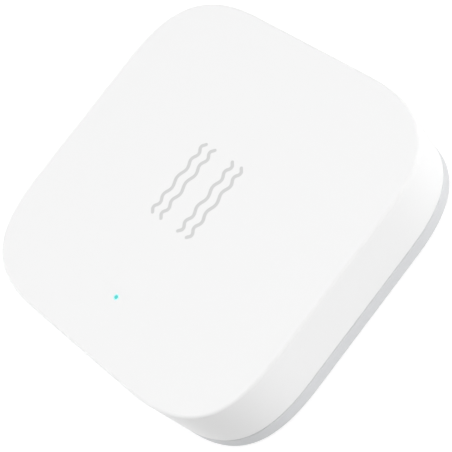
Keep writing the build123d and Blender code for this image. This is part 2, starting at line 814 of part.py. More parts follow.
# Inductor: a drum core between two square flanges
with BuildPart() as inductor:
    with BuildSketch(Plane(board_place(inductor_place_shares, board_top))):
        Rectangle(inductor_side, inductor_side)
    extrude(amount=inductor_height)
    with BuildSketch(Plane(board_place(inductor_place_shares, board_top + inductor_flange))):
        Rectangle(2 * inductor_side, 2 * inductor_side)
        Circle(inductor_core_radius, mode=Mode.SUBTRACT)
    extrude(amount=inductor_height - 2 * inductor_flange, mode=Mode.SUBTRACT)

# Chip capacitors and resistors, each kind a group of separate blocks
with BuildPart() as capacitors:
    for shares in capacitor_place_shares:
        with Locations(board_place(shares, board_top)):
            add(two_terminal_chip(capacitor_height))

with BuildPart() as resistors:
    for shares in resistor_place_shares:
        with Locations(board_place(shares, board_top)):
            add(two_terminal_chip(resistor_height))

pieces = {
    "top_cover": top_cover,
    "base_shell": base_shell,
    "adhesive_pad": adhesive_pad,
    "battery_door": battery_door,
    "light_pipe": light_pipe,
    "reset_button": reset_button,
    "switch_base": switch_base,
    "switch_dome": switch_dome,
    "switch_frame": switch_frame,
    "switch_plunger": switch_plunger,
    "circuit_board": circuit_board,
    "cell_can": cell_can,
    "cell_gasket": cell_gasket,
    "cell_cap": cell_cap,
    "cathode_pellet": cathode_pellet,
    "cell_separator": cell_separator,
    "lithium_disc": lithium_disc,
    "battery_holder": battery_holder,
    "positive_contacts": positive_contacts,
    "negative_contact": negative_contact,
    "radio_chip": radio_chip,
    "memory_chip": memory_chip,
    "accelerometer": accelerometer,
    "main_crystal": main_crystal,
    "clock_crystal": clock_crystal,
    "chip_antenna": chip_antenna,
    "status_led": status_led,
    "bulk_capacitor": bulk_capacitor,
    "inductor": inductor,
    "capacitors": capacitors,
    "resistors": resistors,
}

os.makedirs("parts", exist_ok=True)
for name, piece in pieces.items():
    piece.part.label = name
    export_step(piece.part, f"parts/{name}.step")
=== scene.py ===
import json
import math

import bmesh
import bpy
from bpy.props import FloatProperty, FloatVectorProperty, IntProperty, PointerProperty
from mathutils import Matrix, Quaternion, Vector


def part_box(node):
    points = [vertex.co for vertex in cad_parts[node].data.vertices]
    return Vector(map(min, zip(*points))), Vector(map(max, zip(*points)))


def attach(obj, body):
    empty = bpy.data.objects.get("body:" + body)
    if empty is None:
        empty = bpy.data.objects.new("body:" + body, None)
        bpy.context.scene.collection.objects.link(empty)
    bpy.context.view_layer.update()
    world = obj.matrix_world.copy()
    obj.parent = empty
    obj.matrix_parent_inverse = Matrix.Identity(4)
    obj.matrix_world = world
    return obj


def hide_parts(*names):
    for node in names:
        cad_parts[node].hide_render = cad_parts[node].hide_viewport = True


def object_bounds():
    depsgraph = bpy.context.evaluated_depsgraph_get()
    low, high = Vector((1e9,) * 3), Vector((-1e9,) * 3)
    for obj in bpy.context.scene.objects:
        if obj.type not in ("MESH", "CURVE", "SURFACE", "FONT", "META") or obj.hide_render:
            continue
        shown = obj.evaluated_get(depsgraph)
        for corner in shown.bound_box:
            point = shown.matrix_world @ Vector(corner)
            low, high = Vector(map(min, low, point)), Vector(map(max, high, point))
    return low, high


# The vibration sensor tag in the photograph: a soft-cornered white cover on a pale grey base, with a printed
# wave sign and a small lit dot. Metres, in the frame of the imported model: the face looks along +Z, the dot is
# towards -Y and the reset button is in the +Y wall.

bl_info = {
    "name": "Vibration sensor tag",
    "version": (1, 0, 0),
    "blender": (4, 5, 0),
    "location": "View3D > Sidebar > Sensor tag",
    "description": "Dresses the packed sensor tag and sets up its studio",
    "category": "Object",
}

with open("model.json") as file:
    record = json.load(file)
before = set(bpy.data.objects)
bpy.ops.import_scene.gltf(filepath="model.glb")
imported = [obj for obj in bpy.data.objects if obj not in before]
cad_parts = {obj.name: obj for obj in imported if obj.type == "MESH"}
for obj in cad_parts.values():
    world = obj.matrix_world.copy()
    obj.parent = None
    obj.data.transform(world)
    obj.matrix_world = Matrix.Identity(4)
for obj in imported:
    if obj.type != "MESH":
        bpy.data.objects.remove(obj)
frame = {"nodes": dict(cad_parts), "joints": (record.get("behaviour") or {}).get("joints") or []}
nodes = frame["nodes"]
cad_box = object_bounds()
MM = 0.001


def linear(hex_colour):
    """An sRGB hex colour as linear red, green and blue, with an alpha of 1."""
    parts = [int(hex_colour[start : start + 2], 16) / 255 for start in (0, 2, 4)]
    return [part / 12.92 if part <= 0.04045 else ((part + 0.055) / 1.055) ** 2.4 for part in parts] + [1.0]


def colour_property(name, description, hex_colour):
    """A colour that the sidebar shows as a swatch."""
    return FloatVectorProperty(
        name=name, description=description, subtype="COLOR", size=4, min=0, max=1,
        default=linear(hex_colour),
    )


def length_property(name, description, millimetres):
    """A length in metres whose default is written in millimetres."""
    return FloatProperty(
        name=name, description=description, unit="LENGTH", subtype="DISTANCE", precision=5,
        default=millimetres * MM,
    )


def amount_property(name, description, value, **kind):
    """A number that isn't a length, with its unit or subtype where one fits."""
    return FloatProperty(name=name, description=description, default=value, **kind)


class TagPrintSettings(bpy.types.PropertyGroup):
    """The printed wave sign."""

    ink: colour_property("Ink", "Colour of the printed sign", "d3d3d3")
    stroke: length_property("Stroke", "Width of a printed line", 0.47)
    fade: length_property("Fade", "How far the ink's edge fades to either side", 0.03)
    wavelength: length_property("Wavelength", "Length of a wave at the sign's middle", 2.86)
    end_wavelength: length_property("End wavelength", "Length of a wave at the end of a line", 1.37)
    swing: length_property("Swing", "How far a line swings to either side", 0.2)
    inner_line: length_property("Inner line", "From the sign's middle to its inner lines", 1.75)
    outer_line: length_property("Outer line", "From the sign's middle to its outer lines", 3.32)
    half_length: length_property("Half length", "From the sign's middle to the end of a line", 5.0)
    aside: length_property("Aside", "From the face's middle to the sign's middle, along X", -0.23)
    ahead: length_property("Ahead", "From the face's middle to the sign's middle, along Y", 0.437)
    lean: amount_property("Lean", "Turn of the sign", math.radians(-1.1), subtype="ANGLE")


class TagCaseSettings(bpy.types.PropertyGroup):
    """The moulded case and its foam pad."""

    cover: colour_property("Cover", "Colour of the cover", "f3f3f3")
    base: colour_property("Base", "Colour of the base and the door", "d9dadc")
    button: colour_property("Button", "Colour of the reset button", "c3c5c8")
    foam: colour_property("Foam", "Colour of the mounting pad", "b9bcbc")
    grain: length_property("Grain", "Size of the moulded surface's grain", 0.16)
    grain_depth: length_property("Grain depth", "Depth of the moulded surface's grain", 0.006)
    foam_cell: length_property("Foam cell", "Size of a bubble in the foam", 0.22)
    foam_edge: length_property("Foam edge", "How far the foam's cut edge is rounded", 0.15)


class TagMarkSettings(bpy.types.PropertyGroup):
    """The raised marks on the battery door and beside it."""

    height: length_property("Height", "How far the marks stand out", 0.15)
    arrow_place: length_property("Arrow place", "From the door's middle to its curved arrows", 9.0)
    arrow_width: length_property("Arrow width", "Width of a curved arrow's bar", 0.8)
    head_radius: length_property("Head radius", "From the middle of an arrow's head to its points", 1.3)
    pointer_place: length_property("Pointer place", "From the door's middle to its pointer", 11.5)
    pointer_radius: length_property("Pointer radius", "From the pointer's middle to its points", 0.9)
    lock_place: length_property("Lock place", "From the door's middle to the closed and open marks", 13.1)
    dot_radius: length_property("Dot radius", "Radius of the closed mark, a dot", 0.35)
    ring_radius: length_property("Ring radius", "Mean radius of the open mark, a ring", 0.27)
    ring_width: length_property("Ring width", "Width of the ring's band", 0.16)


class TagLightSettings(bpy.types.PropertyGroup):
    """The status light."""

    glow: colour_property("Glow", "Colour of the lit dot", "38c8c2")
    unlit: colour_property("Unlit", "Colour of the pipe's plastic under the glow", "0c2b2c")
    halo: colour_property("Halo", "Colour of the light at the dot's rim and on the cover", "b4f4f4")
    foot: colour_property("Foot", "Colour of the diode's foot", "e9e9e4")
    glow_radius: length_property("Glow radius", "From the dot's middle to its pale rim", 0.185)
    halo_radius: length_property("Halo radius", "From the dot's middle to where its light fades", 0.45)
    fleck: length_property("Fleck", "Size of the flecks that scatter the light", 0.12)
    strength: amount_property("Strength", "Brightness of the lit dot", 1.0, min=0)


class TagBoardSettings(bpy.types.PropertyGroup):
    """The circuit board and what stands on it."""

    mask: colour_property("Solder mask", "Colour of the board's lacquer", "14512f")
    glass: colour_property("Glass epoxy", "Colour of the board's cut edge", "b9a86a")
    gold: colour_property("Gold", "Colour of the board's plated holes", "d9b36a")
    tin: colour_property("Tin", "Colour of solder and tinned metal", "c9cbcb")
    epoxy: colour_property("Epoxy", "Colour of the moulded chips", "1b1c1e")
    tray: colour_property("Crystal tray", "Colour of the crystals' ceramic", "5d5a55")
    antenna: colour_property("Antenna", "Colour of the antenna's ceramic", "dfe3e6")
    ceramic: colour_property("Capacitor", "Colour of the chip capacitors", "b39a7c")
    glaze: colour_property("Resistor", "Colour of the chip resistors", "1a1b1d")
    tantalum: colour_property("Large capacitor", "Colour of the large capacitor", "d8a24a")
    band: colour_property("Band", "Colour of the large capacitor's band", "a8501c")
    ferrite: colour_property("Ferrite", "Colour of the inductor's drum", "3a3b3d")
    copper: colour_property("Copper", "Colour of the inductor's enamelled wire", "b0582b")
    trace_pitch: length_property("Trace pitch", "From one copper trace to the next", 0.62)
    patch: length_property("Patch", "About how wide a field of traces is", 5.0)
    hole_pitch: length_property("Hole pitch", "About how far one plated hole is from the next", 2.6)
    wire: length_property("Wire", "Thickness of the inductor's wire", 0.14)
    turns: IntProperty(name="Turns", description="Turns in a layer of the inductor's wire", default=4, min=1)


class TagCellSettings(bpy.types.PropertyGroup):
    """The coin cell, its holder and contacts, and the switch."""

    steel: colour_property("Steel", "Colour of plated and stainless steel", "bfc1c2")
    spring: colour_property("Spring", "Colour of the contacts' plated bronze", "c9c3b4")
    seal: colour_property("Seal", "Colour of the cell's seal", "d9d8d0")
    powder: colour_property("Powder", "Colour of the cell's pressed powder", "26262a")
    felt: colour_property("Felt", "Colour of the cell's separator", "e4e2da")
    foil: colour_property("Foil", "Colour of the cell's lithium", "8f9296")
    holder: colour_property("Holder", "Colour of the battery holder", "202123")
    switch: colour_property("Switch", "Colour of the switch's base", "1f2022")
    nub: colour_property("Nub", "Colour of the switch's plunger", "e3dccb")
    marks: length_property("Marks", "From one turning mark to the next", 0.754)


class TagStageSettings(bpy.types.PropertyGroup):
    """The studio."""

    floor: colour_property("Floor", "Colour of the floor", "b8b8b8")
    table: amount_property("Table", "Brightness of the lit table", 0.6, min=0)
    room: amount_property("Room", "Brightness of the room's white walls", 0.002, min=0)
    overhead: amount_property("Overhead light", "Power of the light overhead", 2.1, min=0, subtype="POWER")
    side: amount_property("Side light", "Power of the light beside the button", 4.6, min=0, subtype="POWER")
    back: amount_property("Back light", "Power of the light across from it", 6.1, min=0, subtype="POWER")
    lens: amount_property("Lens", "Focal length of the camera", 100.5, min=1, unit="CAMERA")
    roll: amount_property("Roll", "Turn of the camera about its axis", math.radians(47.354), subtype="ANGLE")


def add_node(tree, kind, sockets=None, **settings):
    """Adds one shader node and gives its outputs. Each socket gets a value or the output that feeds it."""
    node = tree.nodes.new("ShaderNode" + kind)
    for name, value in settings.items():
        setattr(node, name, value)
    for name, source in (sockets or {}).items():
        if isinstance(source, bpy.types.NodeSocket):
            tree.links.new(source, node.inputs[name])
        else:
            node.inputs[name].default_value = source
    return node.outputs


def start_material(name):
    """An empty material, its node tree and the place of a point on the piece that wears it, in metres."""
    material = bpy.data.materials.new(name)
    material.use_nodes = True
    tree = material.node_tree
    tree.nodes.clear()
    return material, tree, add_node(tree, "TexCoord")["Object"]


def finish_material(material, sockets):
    """Ends a material with its shader, whose sockets get these values or outputs, and gives it back."""
    tree = material.node_tree
    surface = add_node(tree, "BsdfPrincipled", sockets)["BSDF"]
    add_node(tree, "OutputMaterial", {"Surface": surface})
    return material


def darker(colour, share):
    """A colour with part of its light taken away."""
    return [part * (1 - share) for part in colour[:3]] + [1.0]


def grained(tree, place, colour, roughness, grain, depth, contrast):
    """Shader values of a surface whose grains differ a little in tone, in gloss and in height."""
    speckle = add_node(tree, "TexNoise", {
        "Vector": place, "Scale": 1 / grain, "Detail": 3.0, "Roughness": 0.6,
    })["Fac"]
    tone = add_node(tree, "Mix", {0: speckle, 6: colour, 7: darker(colour, contrast)}, data_type="RGBA")[2]
    gloss_swing = 0.06
    gloss = add_node(tree, "MapRange", {
        "Value": speckle, "To Min": roughness - gloss_swing, "To Max": roughness + gloss_swing,
    })["Result"]
    relief = add_node(tree, "Bump", {"Height": speckle, "Distance": depth})["Normal"]
    return {"Base Color": tone, "Roughness": gloss, "Normal": relief}


def part_metal(tree, where, plain, metal):
    """Shader values of a plain finish that is metal where a pattern is 1. A finish is (colour, roughness)."""
    tone = add_node(tree, "Mix", {0: where, 6: plain[0], 7: metal[0]}, data_type="RGBA")[2]
    gloss = add_node(tree, "MapRange", {"Value": where, "To Min": plain[1], "To Max": metal[1]})["Result"]
    return {"Base Color": tone, "Roughness": gloss, "Metallic": where}


def middle_of(name):
    """The middle of a CAD node's box."""
    low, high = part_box(name)
    return (low + high) / 2


def distance_from(tree, place, middle):
    """How far a point is, seen from above, from an upright axis through a middle."""
    flat = add_node(tree, "Mapping", {
        "Vector": place, "Location": (-middle.x, -middle.y, 0), "Scale": (1, 1, 0),
    })["Vector"]
    return add_node(tree, "VectorMath", {0: flat}, operation="LENGTH")["Value"]


def is_past(tree, place, axis, level):
    """1 where a point lies past a level along an axis, and 0 elsewhere."""
    along = add_node(tree, "SeparateXYZ", {"Vector": place})[axis]
    return add_node(tree, "Math", {0: along, 1: level}, operation="GREATER_THAN")[0]


def aside_from(tree, place, axis, middle):
    """How far a point lies from a middle along an axis, to either side."""
    along = add_node(tree, "SeparateXYZ", {"Vector": place})[axis]
    along = add_node(tree, "Math", {0: along, 1: middle}, operation="SUBTRACT")[0]
    return add_node(tree, "Math", {0: along}, operation="ABSOLUTE")[0]


def dress(material, *names):
    """Gives CAD nodes this material."""
    for name in names:
        for place in nodes[name].material_slots:
            place.material = material


def abs_finish(tree, place, case, colour, roughness):
    """Moulded plastic with a fine even grain. It is really about 0.05 mm, and is drawn coarser, to show."""
    finish = grained(tree, place, colour, roughness, case.grain, case.grain_depth, contrast=0.012)
    return {**finish, "IOR": 1.53}


# Acrylonitrile butadiene styrene from a spark-finished mould: matt and even, with no sheen on its edges
def moulded_abs(name, case, colour, roughness):
    material, tree, place = start_material(name)
    return finish_material(material, abs_finish(tree, place, case, colour, roughness))


# The same moulded plastic in white, with pale pad-printed ink that lies flat on the grain, and a bluish bloom
# where the status light shines into it
def printed_cover(case, sign, light):
    material, tree, place = start_material("matt_white_printed_abs")
    finish = abs_finish(tree, place, case, case.cover, roughness=0.72)
    printed = add_node(tree, "Mix", {
        0: wave_sign(tree, place, sign), 6: finish["Base Color"], 7: sign.ink,
    }, data_type="RGBA")[2]
    bloom_start, bloom_strength = 0.6 * light.halo_radius, 0.15 * light.strength
    bloom = add_node(tree, "MapRange", {
        "Value": distance_from(tree, place, middle_of("light_pipe")), "From Min": bloom_start,
        "From Max": light.halo_radius, "To Min": 1.0, "To Max": 0.0,
    }, interpolation_type="SMOOTHSTEP")["Result"]
    tone = add_node(tree, "Mix", {0: bloom, 6: printed, 7: light.halo}, data_type="RGBA")[2]
    glow = add_node(tree, "MapRange", {"Value": bloom, "To Max": bloom_strength})["Result"]
    return finish_material(material, {
        **finish, "Base Color": tone, "Emission Color": light.halo, "Emission Strength": glow,
    })


def wave_sign(tree, place, sign):
    """1 on the ink of four wavy lines, two to each side, whose waves grow shorter towards the ends."""
    centred = add_node(tree, "Mapping", {
        "Vector": place, "Location": (sign.aside, sign.ahead, 0), "Rotation": (0, 0, sign.lean),
    }, vector_type="TEXTURE")["Vector"]
    x, y, z = add_node(tree, "SeparateXYZ", {"Vector": centred})
    across = add_node(tree, "Math", {0: x}, operation="ABSOLUTE")[0]
    reach = add_node(tree, "Math", {0: y}, operation="ABSOLUTE")[0]
    square = add_node(tree, "Math", {0: y, 1: y}, operation="MULTIPLY")[0]

    # How far a line swings aside: a cosine whose waves per metre grow with the square of the reach
    growth = (sign.wavelength / sign.end_wavelength - 1) / sign.half_length**2
    per_metre = 2 * math.pi / sign.wavelength
    stretch = add_node(tree, "Math", {0: square, 1: growth / 3, 2: 1.0}, operation="MULTIPLY_ADD")[0]
    turn = add_node(tree, "Math", {0: y, 1: stretch}, operation="MULTIPLY")[0]
    turn = add_node(tree, "Math", {0: turn, 1: per_metre}, operation="MULTIPLY")[0]
    wave = add_node(tree, "Math", {0: turn}, operation="COSINE")[0]
    offset = add_node(tree, "Math", {0: wave, 1: sign.swing}, operation="MULTIPLY")[0]

    # How much longer the line is than its reach, so that the stroke is as wide on its slopes
    steep = add_node(tree, "Math", {0: square, 1: growth, 2: 1.0}, operation="MULTIPLY_ADD")[0]
    slope = add_node(tree, "Math", {0: turn}, operation="SINE")[0]
    slope = add_node(tree, "Math", {0: slope, 1: steep}, operation="MULTIPLY")[0]
    slope = add_node(tree, "Math", {0: slope, 1: per_metre * sign.swing}, operation="MULTIPLY")[0]
    longer = add_node(tree, "Math", {0: slope, 1: slope, 2: 1.0}, operation="MULTIPLY_ADD")[0]
    longer = add_node(tree, "Math", {0: longer}, operation="SQRT")[0]

    # The distance to the nearest line, whose ends are round. It starts at a metre, which is farther than any.
    past_end = add_node(tree, "Math", {0: reach, 1: sign.half_length}, operation="SUBTRACT")[0]
    past_end = add_node(tree, "Math", {0: past_end, 1: 0.0}, operation="MAXIMUM")[0]
    past_end = add_node(tree, "Math", {0: past_end, 1: past_end}, operation="MULTIPLY")[0]
    nearest = 1.0
    for line in (sign.inner_line, sign.outer_line):
        beside = add_node(tree, "Math", {0: across, 1: offset}, operation="SUBTRACT")[0]
        beside = add_node(tree, "Math", {0: beside, 1: line}, operation="SUBTRACT")[0]
        beside = add_node(tree, "Math", {0: beside, 1: longer}, operation="DIVIDE")[0]
        apart = add_node(tree, "Math", {0: beside, 1: beside, 2: past_end}, operation="MULTIPLY_ADD")[0]
        apart = add_node(tree, "Math", {0: apart}, operation="SQRT")[0]
        nearest = add_node(tree, "Math", {0: apart, 1: nearest}, operation="MINIMUM")[0]
    inked = add_node(tree, "MapRange", {
        "Value": nearest, "From Min": sign.stroke / 2 - sign.fade, "From Max": sign.stroke / 2 + sign.fade,
        "To Min": 1.0, "To Max": 0.0,
    }, interpolation_type="SMOOTHSTEP")["Result"]
    face_level = cad_box[1].z - 0.05 * MM
    on_face = add_node(tree, "Math", {0: z, 1: face_level}, operation="GREATER_THAN")[0]
    return add_node(tree, "Math", {0: inked, 1: on_face}, operation="MULTIPLY")[0]


# Closed-cell acrylic foam, cut with a knife: soft, dull and full of fine bubbles. Real ones are about 0.1 mm,
# so they are drawn at the Foam cell setting, which shows.
def acrylic_foam(case):
    material, tree, place = start_material("knife_cut_acrylic_foam")
    bubbles = add_node(tree, "TexVoronoi", {"Vector": place, "Scale": 1 / case.foam_cell})["Distance"]
    wall_tone = darker(case.foam, share=0.45)
    tone = add_node(tree, "Mix", {0: bubbles, 6: case.foam, 7: wall_tone}, data_type="RGBA")[2]
    relief = add_node(tree, "Bump", {"Height": bubbles, "Distance": 0.04 * MM})["Normal"]
    return finish_material(material, {"Base Color": tone, "Roughness": 0.85, "Normal": relief})


# Moulded clear polycarbonate that carries the light: a glossy tip that glows, and pales towards its rim. Its
# scattering flecks are finer than 0.02 mm, so they are drawn at the Fleck setting, as a slight unevenness.
def lit_polycarbonate(light):
    material, tree, place = start_material("moulded_clear_polycarbonate")
    rim_radius, unevenness = 0.65 * light.halo_radius, 0.1
    rim = add_node(tree, "MapRange", {
        "Value": distance_from(tree, place, middle_of("light_pipe")), "From Min": light.glow_radius,
        "From Max": rim_radius,
    }, interpolation_type="SMOOTHSTEP")["Result"]
    glow = add_node(tree, "Mix", {0: rim, 6: light.glow, 7: light.halo}, data_type="RGBA")[2]
    flecks = add_node(tree, "TexNoise", {"Vector": place, "Scale": 1 / light.fleck})["Fac"]
    strength = add_node(tree, "MapRange", {
        "Value": flecks, "To Min": (1 - unevenness) * light.strength,
        "To Max": (1 + unevenness) * light.strength,
    })["Result"]
    return finish_material(material, {
        "Base Color": light.unlit, "Roughness": 0.15, "IOR": 1.585, "Emission Color": glow,
        "Emission Strength": strength,
    })


# Light-emitting diode: a chalky white foot, moulded from ceramic-filled plastic, under a cast epoxy lens that
# glows. The filler is finer than 0.02 mm, so its grain is drawn at 0.1 mm.
def lit_diode(light):
    material, tree, place = start_material("moulded_white_foot_and_cast_epoxy_lens")
    foot_height, lens_strength = 0.3 * MM, 2 * light.strength
    lens = is_past(tree, place, "Z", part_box("status_led")[0].z + foot_height)
    finish = grained(
        tree, place, light.foot, roughness=0.5, grain=0.1 * MM, depth=0.003 * MM, contrast=0.06
    )
    glow = add_node(tree, "MapRange", {"Value": lens, "To Max": lens_strength})["Result"]
    return finish_material(material, {**finish, "Emission Color": light.glow, "Emission Strength": glow})


# Glass-reinforced epoxy under green lacquer, laminated and then milled: traces stand up a little under the
# gloss, plated holes glint, and the cut edge is raw. Real traces are 0.2 to 0.4 mm apart, so they are drawn
# at the Trace pitch setting, which shows.
def lacquered_board(board):
    material, tree, place = start_material("green_lacquered_glass_epoxy")
    trace_half_width, copper_height = 0.1 * MM, 0.03 * MM
    pitches_per_run, bare_share, mask_over_copper = 7, 0.35, 1.7
    turned = add_node(tree, "Mapping", {"Vector": place, "Rotation": (0, 0, math.pi / 2)})["Vector"]
    along, across = (
        add_node(tree, "TexBrick", {
            "Vector": way, "Scale": 1.0, "Mortar Size": trace_half_width, "Mortar Smooth": 0.2,
            "Brick Width": pitches_per_run * board.trace_pitch, "Row Height": board.trace_pitch,
        })["Fac"]
        for way in (place, turned)
    )

    # Square fields, each with its traces along X, along Y or bare
    patches = add_node(tree, "TexVoronoi", {
        "Vector": place, "Scale": 1 / board.patch, "Randomness": 0.7,
    }, voronoi_dimensions="2D", distance="CHEBYCHEV")["Color"]
    either, routed, _ = add_node(tree, "SeparateXYZ", {"Vector": patches})
    either = add_node(tree, "Math", {0: either, 1: 0.5}, operation="GREATER_THAN")[0]
    routed = add_node(tree, "Math", {0: routed, 1: bare_share}, operation="GREATER_THAN")[0]
    traces = add_node(tree, "Mix", {0: either, 2: along, 3: across}, data_type="FLOAT")[0]
    traces = add_node(tree, "Math", {0: traces, 1: routed}, operation="MULTIPLY")[0]
    lit_mask = [mask_over_copper * part for part in board.mask[:3]] + [1.0]
    lacquer = add_node(tree, "Mix", {0: traces, 6: board.mask, 7: lit_mask}, data_type="RGBA")[2]

    # Lacquer and plating are only on the two flat sides
    normal = add_node(tree, "TexCoord")["Normal"]
    upright = aside_from(tree, normal, "Z", 0.0)
    flat = add_node(tree, "Math", {0: upright, 1: 0.5}, operation="GREATER_THAN")[0]
    skin = add_node(tree, "Mix", {0: flat, 6: board.glass, 7: lacquer}, data_type="RGBA")[2]
    apart = add_node(tree, "TexVoronoi", {
        "Vector": place, "Scale": 1 / board.hole_pitch,
    }, voronoi_dimensions="2D")["Distance"]
    hole_radius = 0.16 * MM
    plated = add_node(tree, "Math", {0: apart, 1: hole_radius / board.hole_pitch}, operation="LESS_THAN")[0]
    plated = add_node(tree, "Math", {0: plated, 1: flat}, operation="MULTIPLY")[0]
    relief = add_node(tree, "Bump", {"Height": traces, "Distance": copper_height})["Normal"]
    return finish_material(material, {
        **part_metal(tree, plated, (skin, 0.32), (board.gold, 0.3)), "Normal": relief,
    })


# Tin and solder that has flowed and set: bright, with a faint waviness about as wide as a real joint's
def set_solder(board):
    material, tree, place = start_material("bright_set_solder")
    finish = grained(tree, place, board.tin, roughness=0.28, grain=0.4 * MM, depth=0.02 * MM, contrast=0.1)
    return finish_material(material, {**finish, "Metallic": 1.0})


# Nickel-plated steel with a turned finish: a hard gleam broken by fine rings. Real turning marks are about
# 0.1 mm apart, too fine to show, so they are drawn at the Marks setting.
def turned_steel(cell):
    material, tree, place = start_material("nickel_plated_turned_steel")
    # Blender's wave texture has 20 radians to the unit
    scale = 2 * math.pi / (20 * cell.marks)
    rings = add_node(tree, "TexWave", {
        "Vector": place, "Scale": scale, "Distortion": 0.5, "Detail": 2.0, "Detail Scale": 4.0,
    }, wave_type="RINGS", rings_direction="Z")["Fac"]
    gloss = add_node(tree, "MapRange", {"Value": rings, "To Min": 0.26, "To Max": 0.36})["Result"]
    relief = add_node(tree, "Bump", {"Height": rings, "Distance": 0.004 * MM})["Normal"]
    return finish_material(material, {
        "Base Color": cell.steel, "Metallic": 1.0, "Roughness": gloss, "Normal": relief,
    })


# Strip metal, rolled bright: long fine scratches run the way that it was rolled. Real ones are about 0.01 mm
# wide, so they are drawn 0.1 mm wide and ten times as long.
def rolled_strip(name, colour, roughness):
    material, tree, place = start_material(name)
    along = add_node(tree, "Mapping", {"Vector": place, "Scale": (0.1, 1, 1)})["Vector"]
    finish = grained(tree, along, colour, roughness, grain=0.1 * MM, depth=0.003 * MM, contrast=0.08)
    return finish_material(material, {**finish, "Metallic": 1.0})


# A fine grain: powder, felt, foil, ferrite, ceramic, glaze, enamel and plastics differ in its size and depth
# and in their gloss. Real grains are mostly under 0.03 mm, so each is drawn as coarse as it needs to show.
def fine_grain(name, colour, roughness, grain, depth, contrast, metallic=0.0):
    material, tree, place = start_material(name)
    finish = grained(tree, place, colour, roughness, grain, depth, contrast)
    return finish_material(material, {**finish, "Metallic": metallic})


def epoxy_finish(tree, place, board):
    """Moulded black epoxy: near black and frosted. Its 0.03 mm filler is drawn at 0.1 mm, to show."""
    return grained(
        tree, place, board.epoxy, roughness=0.55, grain=0.1 * MM, depth=0.006 * MM, contrast=0.25
    )


# Moulded epoxy of a chip: frosted, with a smooth round dimple at its first pin that catches the light
def moulded_epoxy(board, name):
    material, tree, place = start_material(f"black_moulded_epoxy_{name}")
    low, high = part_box(name)
    finish = epoxy_finish(tree, place, board)
    inset, dimple_radius, dimple_roughness = 0.9 * MM, 0.25 * MM, 0.25
    dimple = distance_from(tree, place, Vector((low.x + inset, high.y - inset, 0)))
    smooth = add_node(tree, "Math", {0: dimple, 1: dimple_radius}, operation="LESS_THAN")[0]
    gloss = add_node(
        tree, "Mix", {0: smooth, 2: finish["Roughness"], 3: dimple_roughness}, data_type="FLOAT"
    )[0]
    return finish_material(material, {**finish, "Roughness": gloss})


# The same epoxy with tinned leads, which gleam: what reaches past the body's long sides is metal
def leaded_epoxy(board, name, body_width):
    material, tree, place = start_material(f"black_moulded_epoxy_and_tinned_leads_{name}")
    beside = aside_from(tree, place, "X", middle_of(name).x)
    leads = add_node(tree, "Math", {0: beside, 1: body_width / 2}, operation="GREATER_THAN")[0]
    finish = epoxy_finish(tree, place, board)
    return finish_material(material, {
        **finish, **part_metal(tree, leads, (finish["Base Color"], 0.55), (board.tin, 0.3)),
    })


# Crystal: a stony grey ceramic tray, fired, under a bright nickel lid. The ceramic's 0.01 mm grain is drawn
# at 0.2 mm, to show.
def lidded_ceramic(board, name):
    material, tree, place = start_material(f"fired_ceramic_and_nickel_lid_{name}")
    tray_height = 0.26 * MM
    lid = is_past(tree, place, "Z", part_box(name)[0].z + tray_height)
    finish = grained(
        tree, place, board.tray, roughness=0.7, grain=0.2 * MM, depth=0.003 * MM, contrast=0.15
    )
    return finish_material(material, {
        **finish, **part_metal(tree, lid, (finish["Base Color"], 0.7), (board.tin, 0.24)),
    })


# Antenna: smooth white ceramic with silver strips fired on across it and silver ends. The ceramic's 0.01 mm
# grain is drawn at 0.15 mm, to show.
def silvered_ceramic(board, name):
    material, tree, place = start_material("fired_white_ceramic_with_silver")
    low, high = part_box(name)
    strip_pitch, strip_share, end_length = 0.9 * MM, 0.45, 0.5 * MM
    y = add_node(tree, "SeparateXYZ", {"Vector": place})["Y"]
    strip = add_node(tree, "Math", {0: y, 1: strip_pitch}, operation="DIVIDE")[0]
    strip = add_node(tree, "Math", {0: strip}, operation="FRACT")[0]
    strip = add_node(tree, "Math", {0: strip, 1: strip_share}, operation="LESS_THAN")[0]
    along = aside_from(tree, place, "Y", middle_of(name).y)
    end_start = (high.y - low.y) / 2 - end_length
    ends = add_node(tree, "Math", {0: along, 1: end_start}, operation="GREATER_THAN")[0]
    silver = add_node(tree, "Math", {0: strip, 1: ends}, operation="MAXIMUM")[0]
    finish = grained(
        tree, place, board.antenna, roughness=0.5, grain=0.15 * MM, depth=0.003 * MM, contrast=0.05
    )
    return finish_material(material, {
        **finish, **part_metal(tree, silver, (finish["Base Color"], 0.5), (board.tin, 0.32)),
    })


# Tantalum capacitor: yellow moulded epoxy, eggshell smooth, with a printed orange band at its positive end.
# Its 0.03 mm filler is drawn at 0.12 mm, to show.
def banded_epoxy(board, name):
    material, tree, place = start_material("yellow_moulded_epoxy")
    finish = grained(
        tree, place, board.tantalum, roughness=0.5, grain=0.12 * MM, depth=0.005 * MM, contrast=0.12
    )
    band_width = 0.9 * MM
    band = is_past(tree, place, "X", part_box(name)[1].x - band_width)
    tone = add_node(tree, "Mix", {0: band, 6: finish["Base Color"], 7: board.band}, data_type="RGBA")[2]
    return finish_material(material, {**finish, "Base Color": tone})


# White acrylic over lamps: an even sheet of light with no gloss, in which a shadow nearly drowns
def white_acrylic(stage):
    material, _, _ = start_material("sanded_white_acrylic_over_lamps")
    return finish_material(material, {
        "Base Color": stage.floor, "Roughness": 0.9, "Emission Color": (1, 1, 1, 1),
        "Emission Strength": stage.table,
    })


